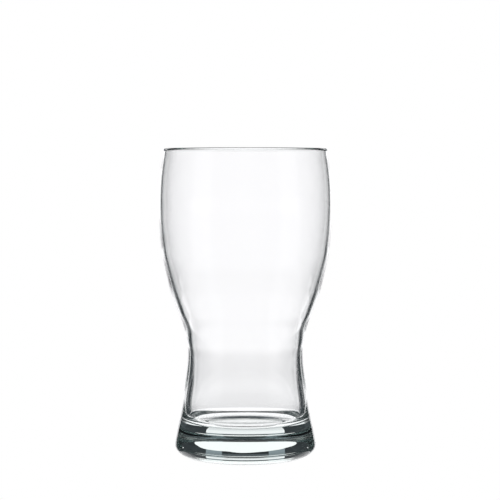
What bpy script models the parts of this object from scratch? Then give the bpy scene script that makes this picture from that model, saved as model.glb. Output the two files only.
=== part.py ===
"""A waisted pint glass: one piece of clear soda-lime glass, turned from a single closed outline.

Metres, +Z up. The origin is on the glass's axis, in the plane of the foot's bearing ring.
"""

import math

import bpy

HEIGHT = 0.1607

# The outside wall, as stations of (height, radius, lean). The lean is how much the radius grows
# for each unit of height, so it is 0 at the waist and the bulge.
FOOT = (0.0069, 0.03675, -0.14)
SKIRT = (0.0300, 0.03245, -0.075)
WAIST = (0.0539, 0.02995, 0.0)
SHOULDER = (0.0720, 0.03355, 0.36)
FLANK = (0.0900, 0.03995, 0.22)
BOWL = (0.1100, 0.04395, 0.10)
BULGE = (0.1297, 0.04510, 0.0)
NECK = (0.1480, 0.04425, -0.11)
COLLAR = (0.1595, 0.04255, -0.10)
OUTSIDE = (FOOT, SKIRT, WAIST, SHOULDER, FLANK, BOWL, BULGE, NECK, COLLAR)

# The inside wall, as stations of the same kind. It is near straight above the thick floor, where
# the outside flares to the foot, and then follows the outside, 2.8 mm in at the shoulder and
# 1.4 mm in under the rim.
INSIDE = (
    (0.0220, 0.02945, -0.06),
    (0.0330, 0.02850, -0.11),
    (0.0450, 0.02750, -0.05),
    (0.0560, 0.02760, 0.09),
    (0.0660, 0.02890, 0.27),
    (0.0760, 0.03235, 0.36),
    (0.0900, 0.03735, 0.27),
    (0.1080, 0.04165, 0.14),
    (0.1300, 0.04340, 0.0),
    (0.1480, 0.04265, -0.10),
    (0.1595, 0.04120, -0.12),
)

# The fire-polished rim is rounded, a little more on its outside.
RIM_TUCK = 0.0002

# The solid floor and the rounded corner between it and the inside wall.
FLOOR_HEIGHT = 0.0175
FLOOR_CORNER = 0.0048
FLOOR_HANDLE = 0.60
WALL_HANDLE = 0.55

# The heel, from the foot's widest point to the flat bearing ring, and the recess inside the ring.
HEEL_DROP = 0.60
HEEL_SPREAD = 0.50
RING_OUTER_RADIUS = 0.0283
RING_INNER_RADIUS = 0.0225
LIP_ROUNDING = 0.0005
RECESS_SLOPE = 85.0
RECESS_DEPTH = 0.0030
RECESS_FILLET = 0.0020

# How finely the outline is divided, and how many flats go round it.
WALL_STEPS = 3
CORNER_STEPS = 4
RIM_STEPS = 8
HEEL_STEPS = 6
FILLET_STEPS = 3
ROUND_STEPS = 60
MERGE_DISTANCE = 0.00005

GLASS_COLOUR = (0.90, 0.94, 0.93, 1.0)
GLASS_ROUGHNESS = 0.02
GLASS_IOR = 1.52


def wall(stations):
    """Points (radius, height) on a smooth curve through stations of (height, radius, lean)."""
    points = []
    for (low, r_low, lean_low), (high, r_high, lean_high) in zip(stations, stations[1:]):
        rise = high - low
        for step in range(WALL_STEPS):
            t = step / WALL_STEPS
            radius = (
                (2 * t**3 - 3 * t**2 + 1) * r_low
                + (t**3 - 2 * t**2 + t) * rise * lean_low
                + (3 * t**2 - 2 * t**3) * r_high
                + (t**3 - t**2) * rise * lean_high
            )
            points.append((radius, low + t * rise))
    points.append((stations[-1][1], stations[-1][0]))
    return points


def bend(points, steps):
    """Points on the cubic curve whose two ends and two handles are given."""
    curve = []
    for step in range(steps + 1):
        t = step / steps
        shares = ((1 - t) ** 3, 3 * t * (1 - t) ** 2, 3 * t**2 * (1 - t), t**3)
        curve.append(tuple(sum(share * point[axis] for share, point in zip(shares, points)) for axis in (0, 1)))
    return curve


def rounded(start, corner, end, size):
    """Points round a corner between two straight runs, starting and ending size away from it."""
    ends, handles = [], []
    for point in (start, end):
        share = min(size / math.dist(point, corner), 0.49)
        near = tuple(c + (p - c) * share for p, c in zip(point, corner))
        ends.append(near)
        handles.append(tuple((p + 2 * c) / 3 for p, c in zip(near, corner)))
    return bend((ends[0], handles[0], handles[1], ends[1]), FILLET_STEPS)


def inside_outline():
    """From the axis across the drinking floor, round its corner and up the inside wall."""
    wall_height, wall_radius, lean = INSIDE[0]
    flat = wall_radius - FLOOR_CORNER
    rise = (wall_height - FLOOR_HEIGHT) * WALL_HANDLE
    corner = bend((
        (flat, FLOOR_HEIGHT),
        (flat + FLOOR_CORNER * FLOOR_HANDLE, FLOOR_HEIGHT),
        (wall_radius - rise * lean, wall_height - rise),
        (wall_radius, wall_height),
    ), CORNER_STEPS)
    return [(0.0, FLOOR_HEIGHT)] + corner[:-1] + wall(INSIDE)


def rim_outline():
    """Over the rounded rim, from the inside wall to the outside wall."""
    height, inner_radius, inner_lean = INSIDE[-1]
    _, outer_radius, outer_lean = COLLAR
    reach = (HEIGHT - height) / 0.75
    rim = bend((
        (inner_radius, height),
        (inner_radius + inner_lean * reach, height + reach),
        (outer_radius + outer_lean * reach - RIM_TUCK, height + reach),
        (outer_radius, height),
    ), RIM_STEPS)
    return rim[1:]


def outside_outline():
    """Down the outside wall and round the heel to the bearing ring."""
    foot_height, foot_radius, lean = FOOT
    heel = bend((
        (foot_radius, foot_height),
        (foot_radius - lean * foot_height * HEEL_DROP, foot_height * (1 - HEEL_DROP)),
        (RING_OUTER_RADIUS + (foot_radius - RING_OUTER_RADIUS) * HEEL_SPREAD, 0.0),
        (RING_OUTER_RADIUS, 0.0),
    ), HEEL_STEPS)
    return wall(OUTSIDE)[-2:0:-1] + heel


def underside_outline():
    """Across the bearing ring, round its inner edge, up into the recess and across to the axis."""
    ring, edge = (RING_OUTER_RADIUS, 0.0), (RING_INNER_RADIUS, 0.0)
    top = (RING_INNER_RADIUS - RECESS_DEPTH / math.tan(math.radians(RECESS_SLOPE)), RECESS_DEPTH)
    middle = (0.0, RECESS_DEPTH)
    return rounded(ring, edge, top, LIP_ROUNDING) + rounded(edge, top, middle, RECESS_FILLET) + [middle]


def glass_material():
    """Clear soda-lime glass with a faint green-grey tint."""
    material = bpy.data.materials.new("clear_glass")
    material.use_nodes = True
    shader = material.node_tree.nodes["Principled BSDF"]
    shader.inputs["Base Color"].default_value = GLASS_COLOUR
    shader.inputs["Metallic"].default_value = 0.0
    shader.inputs["Roughness"].default_value = GLASS_ROUGHNESS
    shader.inputs["IOR"].default_value = GLASS_IOR
    shader.inputs["Transmission Weight"].default_value = 1.0
    return material


def glass_body():
    """The whole glass: its closed outline, turned round the Z axis by a Screw modifier."""
    outline = inside_outline() + rim_outline() + outside_outline() + underside_outline()
    corners = [(radius, 0.0, height) for radius, height in outline]
    edges = [(index, index + 1) for index in range(len(corners) - 1)]
    mesh = bpy.data.meshes.new("glass_body")
    mesh.from_pydata(corners, edges, [])
    mesh.materials.append(glass_material())
    body = bpy.data.objects.new("glass_body", mesh)
    bpy.context.collection.objects.link(body)

    turn = body.modifiers.new("turn", "SCREW")
    turn.axis = "Z"
    turn.angle = math.radians(360)
    turn.screw_offset = 0.0
    turn.steps = ROUND_STEPS
    turn.render_steps = ROUND_STEPS
    turn.use_merge_vertices = True
    turn.merge_threshold = MERGE_DISTANCE
    turn.use_smooth_shade = True
    return body


for leftover in list(bpy.data.objects):
    bpy.data.objects.remove(leftover)
glass_body()
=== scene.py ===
"""A clear waisted pint glass on a plain white floor, in soft studio light from behind.

Metres, +Z up. The studio's cards hang on an empty that turns with the camera, so that the glass is
lit from behind in every view.
"""

import math

import bpy
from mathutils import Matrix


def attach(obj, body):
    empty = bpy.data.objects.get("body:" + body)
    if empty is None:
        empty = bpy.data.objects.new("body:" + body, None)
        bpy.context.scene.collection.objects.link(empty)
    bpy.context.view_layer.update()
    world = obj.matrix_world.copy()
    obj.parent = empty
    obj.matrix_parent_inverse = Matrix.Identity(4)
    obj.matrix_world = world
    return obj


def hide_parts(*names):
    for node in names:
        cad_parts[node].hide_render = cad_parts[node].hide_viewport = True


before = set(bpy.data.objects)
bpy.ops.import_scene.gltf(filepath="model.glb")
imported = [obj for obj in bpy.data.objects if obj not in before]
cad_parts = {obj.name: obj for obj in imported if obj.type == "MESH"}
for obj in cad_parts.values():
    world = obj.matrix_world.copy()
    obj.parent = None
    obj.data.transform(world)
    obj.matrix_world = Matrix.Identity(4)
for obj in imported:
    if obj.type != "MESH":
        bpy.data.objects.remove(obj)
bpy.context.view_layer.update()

# ---------------------------------------------------------------- the glass's outline, in metres

HEIGHT = 0.1607

# Stations of (height, radius, lean), joined by smooth curves. The lean is the radius gained for
# each unit of height.
OUTSIDE = (
    (0.0069, 0.03675, -0.14),
    (0.0300, 0.03245, -0.075),
    (0.0539, 0.02995, 0.0),
    (0.0720, 0.03355, 0.36),
    (0.0900, 0.03995, 0.22),
    (0.1100, 0.04395, 0.10),
    (0.1297, 0.04510, 0.0),
    (0.1480, 0.04425, -0.11),
    (0.1595, 0.04255, -0.10),
)
INSIDE = (
    (0.0220, 0.02945, -0.06),
    (0.0330, 0.02850, -0.11),
    (0.0450, 0.02750, -0.05),
    (0.0560, 0.02760, 0.09),
    (0.0660, 0.02890, 0.27),
    (0.0760, 0.03235, 0.36),
    (0.0900, 0.03735, 0.27),
    (0.1080, 0.04165, 0.14),
    (0.1300, 0.04340, 0.0),
    (0.1480, 0.04265, -0.10),
    (0.1595, 0.04120, -0.12),
)

# The solid floor and the rounded corner between it and the inside wall.
FLOOR_HEIGHT = 0.0175
FLOOR_CORNER = 0.0048
FLOOR_HANDLE = 0.60
WALL_HANDLE = 0.55

# The heel, from the foot's widest point to the flat bearing ring, and the recess inside the ring.
HEEL_DROP = 0.60
HEEL_SPREAD = 0.50
RING_OUTER_RADIUS = 0.0283
RING_INNER_RADIUS = 0.0225
LIP_ROUNDING = 0.0005
RECESS_SLOPE = 85.0
RECESS_DEPTH = 0.0030
RECESS_FILLET = 0.0020

# The fire-polished rim is rounded, a little more on its outside. A cubic curve rises to three
# quarters of its handles' height.
RIM_TUCK = 0.0002
HANDLE_RISE = 0.75

# How finely the outline is divided, and how many flats go round it.
FLAT_STEPS = 20
CORNER_STEPS = 14
INSIDE_STEPS = 12
RIM_STEPS = 24
OUTSIDE_STEPS = 14
HEEL_STEPS = 30
FILLET_STEPS = 12
ROUND_STEPS = 256
ON_AXIS = 1e-7


def wall(stations, steps):
    """Points (radius, height) on a smooth curve through the stations."""
    points = []
    for (low, r_low, lean_low), (high, r_high, lean_high) in zip(stations, stations[1:]):
        rise = high - low
        for step in range(steps):
            t = step / steps
            radius = (
                (2 * t**3 - 3 * t**2 + 1) * r_low
                + (t**3 - 2 * t**2 + t) * rise * lean_low
                + (3 * t**2 - 2 * t**3) * r_high
                + (t**3 - t**2) * rise * lean_high
            )
            points.append((radius, low + t * rise))
    points.append((stations[-1][1], stations[-1][0]))
    return points


def bend(points, steps):
    """Points on the cubic curve whose two ends and two handles are given."""
    curve = []
    for step in range(steps + 1):
        t = step / steps
        shares = ((1 - t) ** 3, 3 * t * (1 - t) ** 2, 3 * t**2 * (1 - t), t**3)
        curve.append(tuple(
            sum(share * point[axis] for share, point in zip(shares, points)) for axis in (0, 1)
        ))
    return curve


def rounded(start, corner, end, size):
    """Points round a corner between two straight runs, starting and ending size away from it."""
    near, far = (
        tuple(c + (p - c) * min(size / math.dist(point, corner), 0.49) for p, c in zip(point, corner))
        for point in (start, end)
    )
    handles = [tuple(a / 3 + 2 * c / 3 for a, c in zip(point, corner)) for point in (near, far)]
    return bend((near, *handles, far), FILLET_STEPS)


def outline():
    """The closed outline, from the axis over the drinking floor, the rim and the foot, to the axis."""
    wall_height, wall_radius, lean = INSIDE[0]
    rise = (wall_height - FLOOR_HEIGHT) * WALL_HANDLE
    flat = wall_radius - FLOOR_CORNER
    floor = [(flat * step / FLAT_STEPS, FLOOR_HEIGHT) for step in range(FLAT_STEPS)]
    corner = bend((
        (flat, FLOOR_HEIGHT),
        (flat + FLOOR_CORNER * FLOOR_HANDLE, FLOOR_HEIGHT),
        (wall_radius - rise * lean, wall_height - rise),
        (wall_radius, wall_height),
    ), CORNER_STEPS)[:-1]
    inside = wall(INSIDE, INSIDE_STEPS)

    height, inner_radius, inner_lean = INSIDE[-1]
    _, outer_radius, outer_lean = OUTSIDE[-1]
    reach = (HEIGHT - height) / HANDLE_RISE
    rim = bend((
        (inner_radius, height),
        (inner_radius + inner_lean * reach, height + reach),
        (outer_radius + outer_lean * reach - RIM_TUCK, height + reach),
        (outer_radius, height),
    ), RIM_STEPS)[1:]
    outside = wall(OUTSIDE, OUTSIDE_STEPS)[-2:0:-1]

    foot_height, foot_radius, lean = OUTSIDE[0]
    heel = bend((
        (foot_radius, foot_height),
        (foot_radius - lean * foot_height * HEEL_DROP, foot_height * (1 - HEEL_DROP)),
        (RING_OUTER_RADIUS + (foot_radius - RING_OUTER_RADIUS) * HEEL_SPREAD, 0.0),
        (RING_OUTER_RADIUS, 0.0),
    ), HEEL_STEPS)

    ring, edge = (RING_OUTER_RADIUS, 0.0), (RING_INNER_RADIUS, 0.0)
    top = (RING_INNER_RADIUS - RECESS_DEPTH / math.tan(math.radians(RECESS_SLOPE)), RECESS_DEPTH)
    lip = rounded(ring, edge, top, LIP_ROUNDING)
    fillet = rounded(edge, top, (0.0, RECESS_DEPTH), RECESS_FILLET)
    ceiling = [
        (fillet[-1][0] * step / FLAT_STEPS, RECESS_DEPTH) for step in range(FLAT_STEPS, -1, -1)
    ]
    return floor + corner + inside + rim + outside + heel + lip + fillet[:-1] + ceiling


def turned(name, points):
    """A closed mesh: the outline turned round the Z axis."""
    vertices, rings = [], []
    for radius, height in points:
        if radius < ON_AXIS:
            rings.append([len(vertices)])
            vertices.append((0.0, 0.0, height))
        else:
            rings.append(list(range(len(vertices), len(vertices) + ROUND_STEPS)))
            for step in range(ROUND_STEPS):
                angle = 2 * math.pi * step / ROUND_STEPS
                vertices.append((radius * math.cos(angle), radius * math.sin(angle), height))
    faces = []
    for inner, outer in zip(rings, rings[1:]):
        for k in range(ROUND_STEPS):
            j = (k + 1) % ROUND_STEPS
            if len(inner) == 1:
                faces.append((inner[0], outer[k], outer[j]))
            elif len(outer) == 1:
                faces.append((inner[j], inner[k], outer[0]))
            else:
                faces.append((inner[j], inner[k], outer[k], outer[j]))
    mesh = bpy.data.meshes.new(name)
    mesh.from_pydata(vertices, [], faces)
    mesh.shade_smooth()
    return mesh


# ---------------------------------------------------------------------------------- materials


NEUTRAL = (1.0, 1.0, 1.0, 1.0)
PALE = (0.99, 0.985, 1.0, 1.0)
COOL = (0.86, 1.0, 1.08, 1.0)

GLASS_IOR = 1.52
BODY_TINT = (0.50, 0.66, 0.62, 1.0)
BODY_DENSITY = 6.0
RIPPLE_SCALE = 60.0
RIPPLE_STRETCH = 0.45
RIPPLE_STRENGTH = 0.35
RIPPLE_DEPTH = 0.00012
SCUFF_SCALE = 900.0
SCUFF_ROUGHNESS = 0.35
SCUFF_TOP = (0.0002, 0.0006)
SCUFF_SPARSE = (0.45, 0.75)


def clear_glass():
    """Fire-polished soda-lime glass: faint green-grey body, slow ripples, a scuffed bearing ring."""
    material = bpy.data.materials.new("clear_glass_fine")
    material.use_nodes = True
    tree = material.node_tree
    shader = tree.nodes["Principled BSDF"]
    shader.inputs["Base Color"].default_value = NEUTRAL
    shader.inputs["Metallic"].default_value = 0.0
    shader.inputs["IOR"].default_value = GLASS_IOR
    shader.inputs["Transmission Weight"].default_value = 1.0

    body = tree.nodes.new("ShaderNodeVolumeAbsorption")
    body.inputs["Color"].default_value = BODY_TINT
    body.inputs["Density"].default_value = BODY_DENSITY
    tree.links.new(body.outputs["Volume"], tree.nodes["Material Output"].inputs["Volume"])

    place = tree.nodes.new("ShaderNodeTexCoord")
    stretch = tree.nodes.new("ShaderNodeMapping")
    stretch.inputs["Scale"].default_value = (1.0, 1.0, RIPPLE_STRETCH)
    tree.links.new(place.outputs["Object"], stretch.inputs["Vector"])
    ripple = tree.nodes.new("ShaderNodeTexNoise")
    ripple.inputs["Scale"].default_value = RIPPLE_SCALE
    ripple.inputs["Detail"].default_value = 1.0
    tree.links.new(stretch.outputs["Vector"], ripple.inputs["Vector"])
    bump = tree.nodes.new("ShaderNodeBump")
    bump.inputs["Strength"].default_value = RIPPLE_STRENGTH
    bump.inputs["Distance"].default_value = RIPPLE_DEPTH
    tree.links.new(ripple.outputs["Fac"], bump.inputs["Height"])
    tree.links.new(bump.outputs["Normal"], shader.inputs["Normal"])

    split = tree.nodes.new("ShaderNodeSeparateXYZ")
    tree.links.new(place.outputs["Object"], split.inputs["Vector"])
    low = tree.nodes.new("ShaderNodeMapRange")
    low.inputs["From Min"].default_value = SCUFF_TOP[0]
    low.inputs["From Max"].default_value = SCUFF_TOP[1]
    low.inputs["To Min"].default_value = 1.0
    low.inputs["To Max"].default_value = 0.0
    tree.links.new(split.outputs["Z"], low.inputs["Value"])
    scuffs = tree.nodes.new("ShaderNodeTexNoise")
    scuffs.inputs["Scale"].default_value = SCUFF_SCALE
    scuffs.inputs["Detail"].default_value = 3.0
    tree.links.new(place.outputs["Object"], scuffs.inputs["Vector"])
    worn = tree.nodes.new("ShaderNodeMapRange")
    worn.inputs["From Min"].default_value = SCUFF_SPARSE[0]
    worn.inputs["From Max"].default_value = SCUFF_SPARSE[1]
    worn.inputs["To Min"].default_value = 0.0
    worn.inputs["To Max"].default_value = SCUFF_ROUGHNESS
    tree.links.new(scuffs.outputs["Fac"], worn.inputs["Value"])
    rough = tree.nodes.new("ShaderNodeMath")
    rough.operation = "MULTIPLY"
    tree.links.new(low.outputs["Result"], rough.inputs[0])
    tree.links.new(worn.outputs["Result"], rough.inputs[1])
    tree.links.new(rough.outputs["Value"], shader.inputs["Roughness"])
    return material


def glow(name, low, high=None, start=0.0, end=1.0, tint=NEUTRAL):
    """A studio card's light: one value all over, or a slow change from low to high with height."""
    material = bpy.data.materials.new(name)
    material.use_nodes = True
    tree = material.node_tree
    tree.nodes.clear()
    light = tree.nodes.new("ShaderNodeEmission")
    light.inputs["Color"].default_value = tint
    light.inputs["Strength"].default_value = low
    if high is not None:
        place = tree.nodes.new("ShaderNodeTexCoord")
        split = tree.nodes.new("ShaderNodeSeparateXYZ")
        fade = tree.nodes.new("ShaderNodeMapRange")
        fade.inputs["From Min"].default_value = start
        fade.inputs["From Max"].default_value = end
        fade.inputs["To Min"].default_value = low
        fade.inputs["To Max"].default_value = high
        tree.links.new(place.outputs["Object"], split.inputs["Vector"])
        tree.links.new(split.outputs["Z"], fade.inputs["Value"])
        tree.links.new(fade.outputs["Result"], light.inputs["Strength"])
    end_node = tree.nodes.new("ShaderNodeOutputMaterial")
    tree.links.new(light.outputs["Emission"], end_node.inputs["Surface"])
    material.cycles.emission_sampling = "NONE"
    return material


# ---------------------------------------------------------------------------------- the glass

glass = bpy.data.objects.new("pint_glass", turned("pint_glass", outline()))
bpy.context.collection.objects.link(glass)
glass.data.materials.append(clear_glass())
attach(glass, "root")
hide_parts("glass_body")

# ---------------------------------------------------------------------------------- the camera

# In millimetres, metres and degrees. The shift is only the photograph's own offset to the side.
SENSOR_WIDTH = 36.0
FOCAL_LENGTH = 136.5
SHIFT = 0.0092
DISTANCE = 0.9854
EYE_HEIGHT = 0.17376
LOOK_DOWN = 3.828

lens = bpy.data.cameras.new("camera")
lens.sensor_width = SENSOR_WIDTH
lens.lens = FOCAL_LENGTH
lens.shift_x = SHIFT
camera = bpy.data.objects.new("camera", lens)
bpy.context.collection.objects.link(camera)
camera.location = (0.0, -DISTANCE, EYE_HEIGHT)
camera.rotation_euler = (math.radians(90 - LOOK_DOWN), 0.0, 0.0)
bpy.context.scene.camera = camera

# ---------------------------------------------------------------------------------- the studio

FAR = 40.0
CARD_COLUMNS = 24
CARD_ROWS = 12
NADIR, ZENITH = -89.9, 89.9
FLOOR_HALF = 9.0
FLOOR_GAP = 0.0003
BOUNCES = 32

# Brightness, with 1 for the white that the camera sees. Everything beyond the cards is DARK.
WHITE = 1.28
DARK = 0.04
STRIP_LOW, STRIP_HIGH = 0.95, 1.167
STRIP_FADE = (-0.225, -0.105)

# Each plain card: its name, its two sides, its lower and upper edge, its brightness and its tint.
# The angles are in degrees: from the line straight behind the glass, and above the horizon.
CARDS = (
    ("table", 0, 60, NADIR, -22, WHITE, PALE),
    ("table_side", 60, 100, NADIR, -22, 0.50, PALE),
    ("side_near", 24, 50, -22, 10, 0.05, COOL),
    ("side_far", 50, 100, -22, 10, 0.08, COOL),
    ("front_side", 100, 131, NADIR, 0, 0.35, NEUTRAL),
    ("front_side_high", 100, 131, 0, 30, 0.10, COOL),
    ("front_middle", 131, 180, NADIR, 0, 0.15, NEUTRAL),
    ("front_middle_high", 131, 180, 0, 30, 0.03, COOL),
    ("gap_middle", 0, 13, 3.2, 8, 0.12, COOL),
    ("gap_side", 13, 28, 3.2, 8, 0.31, COOL),
    ("upper_middle", 0, 13, 8, 34, 0.04, COOL),
    ("upper_side", 13, 28, 8, 34, 0.35, COOL),
    ("ceiling", 0, 85, 34, ZENITH, 0.12, COOL),
    ("ceiling_side", 85, 131, 34, ZENITH, 0.39, COOL),
    ("ceiling_front", 131, 180, 34, ZENITH, 0.03, COOL),
)


def stage_item(name, vertices, faces, light):
    """A glowing mesh of the studio, which is no part of the glass."""
    mesh = bpy.data.meshes.new(name)
    mesh.from_pydata(vertices, [], faces)
    mesh.materials.append(light)
    item = bpy.data.objects.new(name, mesh)
    bpy.context.collection.objects.link(item)
    return item


def card(name, near_side, far_side, low, high, light, far=FAR, rounded_end=False):
    """A mirrored pair of curved studio cards, far round the glass, with rounded outer ends if
    asked. The camera doesn't see them, and they turn with it."""
    vertices, faces = [], []
    middle, half = (low + high) / 2, (high - low) / 2
    for side in (-1, 1):
        first = len(vertices)
        for row in range(CARD_ROWS + 1):
            for column in range(CARD_COLUMNS + 1):
                share, reach = column / CARD_COLUMNS, 1.0
                if rounded_end:
                    share = math.sin(math.radians(90 * column / CARD_COLUMNS))
                    reach = math.sqrt(1 - share**2)
                turn = side * math.radians(near_side + (far_side - near_side) * share)
                height = math.radians(middle + half * reach * (2 * row / CARD_ROWS - 1))
                vertices.append((
                    far * math.cos(height) * math.sin(turn),
                    far * math.cos(height) * math.cos(turn),
                    far * math.sin(height),
                ))
        for row in range(CARD_ROWS):
            for column in range(CARD_COLUMNS):
                k = first + row * (CARD_COLUMNS + 1) + column
                faces.append((k, k + 1, k + CARD_COLUMNS + 2, k + CARD_COLUMNS + 1))
    item = stage_item(name, vertices, faces, light)
    item.parent = rig
    item.matrix_parent_inverse = camera.rotation_euler.to_matrix().to_4x4().inverted()
    item.visible_camera = False


# The cards hang on this empty. A card's inverse parent matrix takes the first camera's turn out
# again, so that its angles are true in that view and it keeps its place before any other camera.
rig = bpy.data.objects.new("rig", None)
bpy.context.collection.objects.link(rig)
rig.constraints.new("COPY_ROTATION").target = camera

for name, near_side, far_side, low, high, brightness, tint in CARDS:
    card(name, near_side, far_side, low, high, glow(name, brightness, tint=tint))
strip_light = glow("table_strip", STRIP_LOW, STRIP_HIGH, *(share * FAR for share in STRIP_FADE), PALE)
card("table_strip", 0, 24, -22, 3.2, strip_light)
card("softbox", 0, 36, 8.7, 14.8, glow("softbox", WHITE), far=0.9 * FAR, rounded_end=True)

# The floor is for the camera's eye only: through the glass, the cards stand in for it.
floor_corners = [
    (FLOOR_HALF * x, FLOOR_HALF * y, -FLOOR_GAP) for x, y in ((-1, -1), (1, -1), (1, 1), (-1, 1))
]
floor = stage_item("floor", floor_corners, [(0, 1, 2, 3)], glow("floor", 1.0))
floor.visible_transmission = False
floor.visible_glossy = False
floor.visible_diffuse = False

world = bpy.data.worlds.new("studio")
bpy.context.scene.world = world
world.use_nodes = True
tree = world.node_tree
tree.nodes.clear()
sight = tree.nodes.new("ShaderNodeLightPath")
room = tree.nodes.new("ShaderNodeBackground")
room.inputs["Color"].default_value = COOL
room.inputs["Strength"].default_value = DARK
seen = tree.nodes.new("ShaderNodeBackground")
seen.inputs["Color"].default_value = NEUTRAL
choose = tree.nodes.new("ShaderNodeMixShader")
end = tree.nodes.new("ShaderNodeOutputWorld")
tree.links.new(sight.outputs["Is Camera Ray"], choose.inputs["Fac"])
tree.links.new(room.outputs["Background"], choose.inputs[1])
tree.links.new(seen.outputs["Background"], choose.inputs[2])
tree.links.new(choose.outputs["Shader"], end.inputs["Surface"])

scene = bpy.context.scene
scene.view_settings.view_transform = "Standard"
scene.cycles.max_bounces = BOUNCES
scene.cycles.transmission_bounces = BOUNCES
scene.cycles.glossy_bounces = BOUNCES
